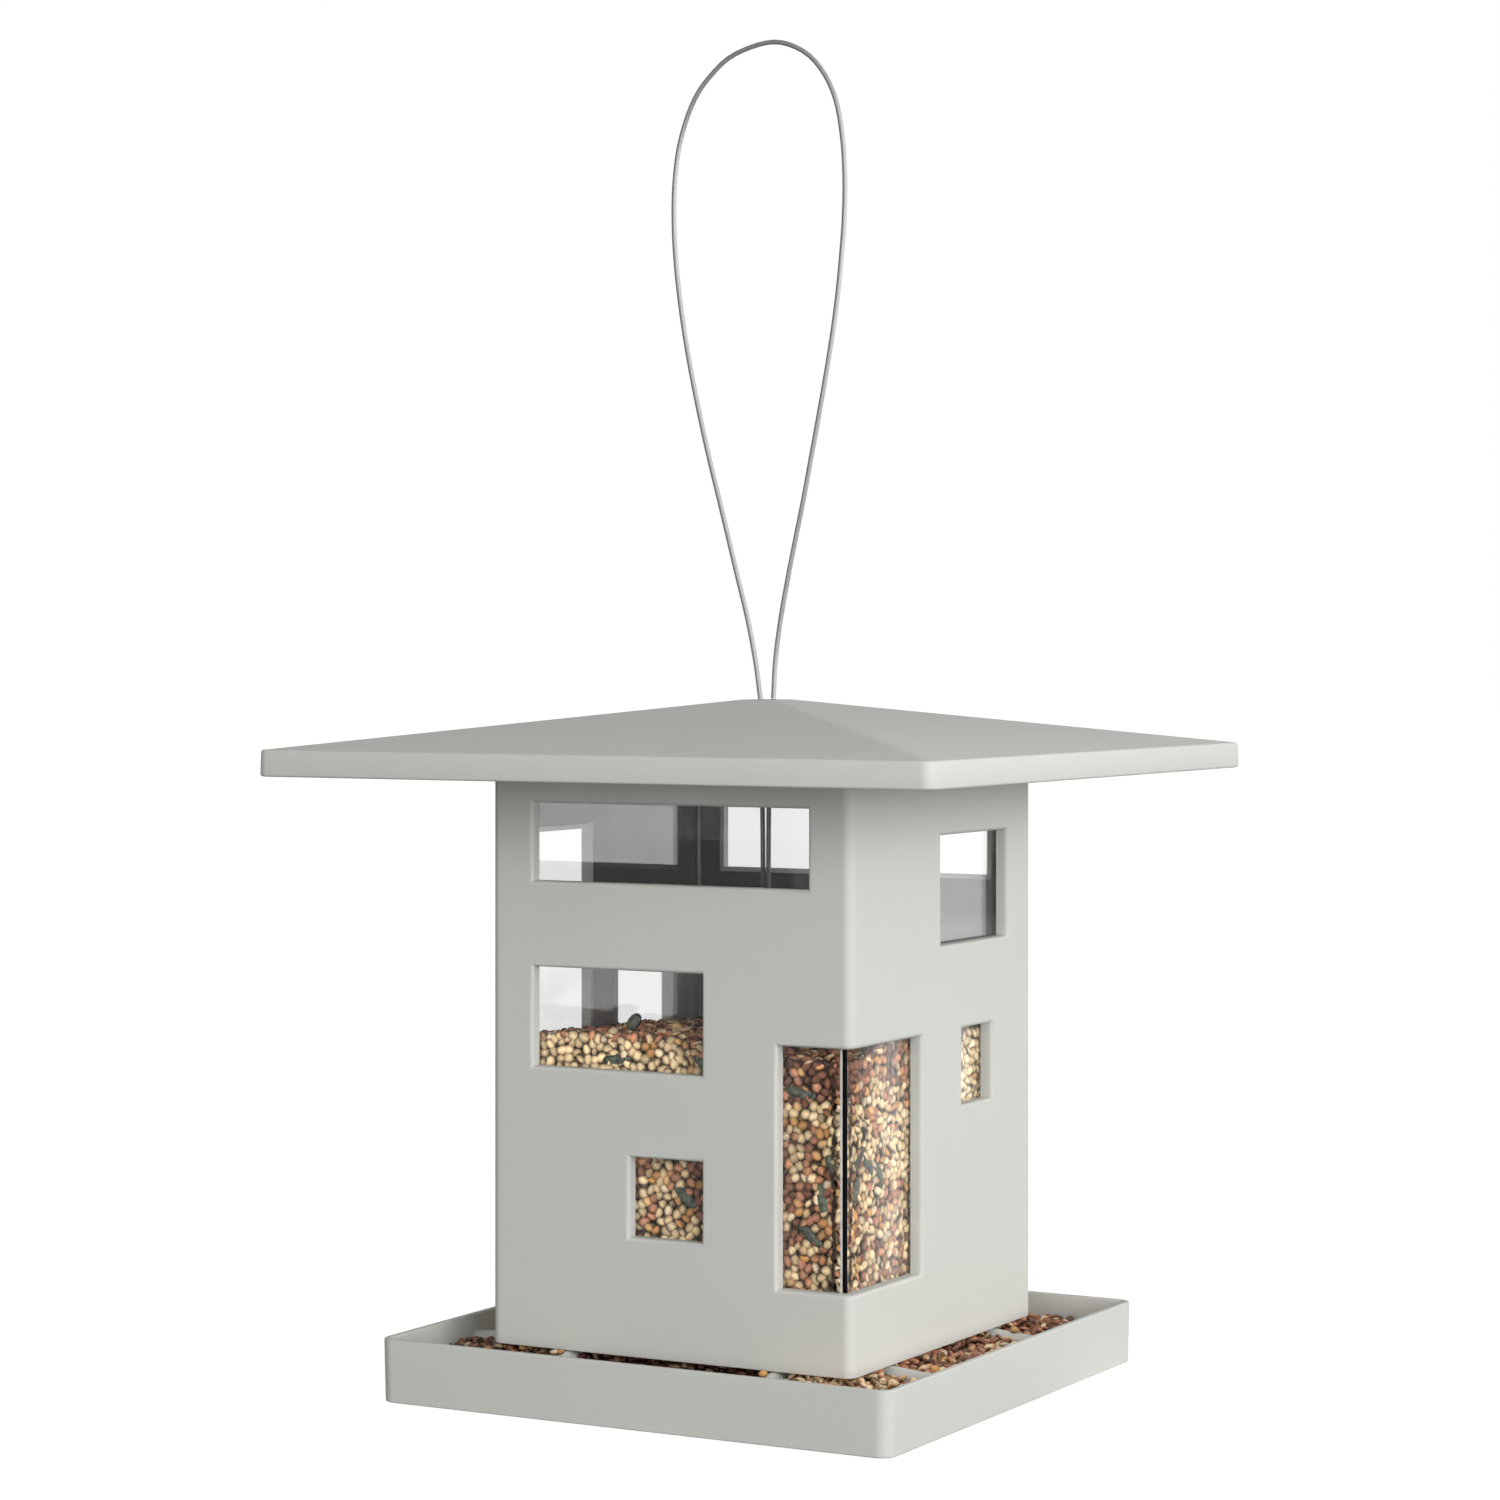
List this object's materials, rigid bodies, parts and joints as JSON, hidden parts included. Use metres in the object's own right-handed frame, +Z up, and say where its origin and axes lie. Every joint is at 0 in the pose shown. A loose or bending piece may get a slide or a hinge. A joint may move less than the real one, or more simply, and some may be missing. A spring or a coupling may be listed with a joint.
{
  "type": "bird feeder",
  "caption": "Hanging bird feeder: square plastic house with cut-out windows over a clear seed hopper, low pyramid roof that slides up its cable loop, and a ridged square seed tray.",
  "frame": {"origin": "centre of the tray's underside, on the surface the feeder stands on", "axes": "+Z up along the cable, -Y out of the front wall with the three windows at its left, +X out of the right wall"},
  "size_m": [0.24, 0.24, 0.4407],
  "materials": {
    "roof_plastic": "fine satin grey",
    "house_plastic": "fine satin grey",
    "tray_plastic": "fine satin grey",
    "clear_plastic": "clear and smooth",
    "coated_cable": "twisted steel under a clear coat",
    "ferrule_metal": "crimped, dull",
    "washer_steel": "plain",
    "mixed_seed": "loose mixed bird seed"
  },
  "bodies": {
    "feeder": {"house_shell": "house_plastic", "hopper_liner": "clear_plastic", "feeding_tray": "tray_plastic", "cable_loop": "coated_cable", "cable_strand_left": "coated_cable", "cable_strand_right": "coated_cable", "cable_ferrule": "ferrule_metal", "cable_washer": "washer_steel", "hopper_seed": "mixed_seed", "tray_seed_front": "mixed_seed", "tray_seed_front_right": "mixed_seed", "tray_seed_right": "mixed_seed", "tray_seed_back_right": "mixed_seed", "tray_seed_back": "mixed_seed", "tray_seed_back_left": "mixed_seed", "tray_seed_left": "mixed_seed", "tray_seed_front_left": "mixed_seed"},
    "roof": {"roof_shell": "roof_plastic"}
  },
  "joints": [
    {"name": "roof_lift", "type": "slide", "parent": "feeder", "child": "roof", "axis": [0, 0, 1], "range_m": [0, 0.15], "deforming": ["cable_loop"]}
  ]
}
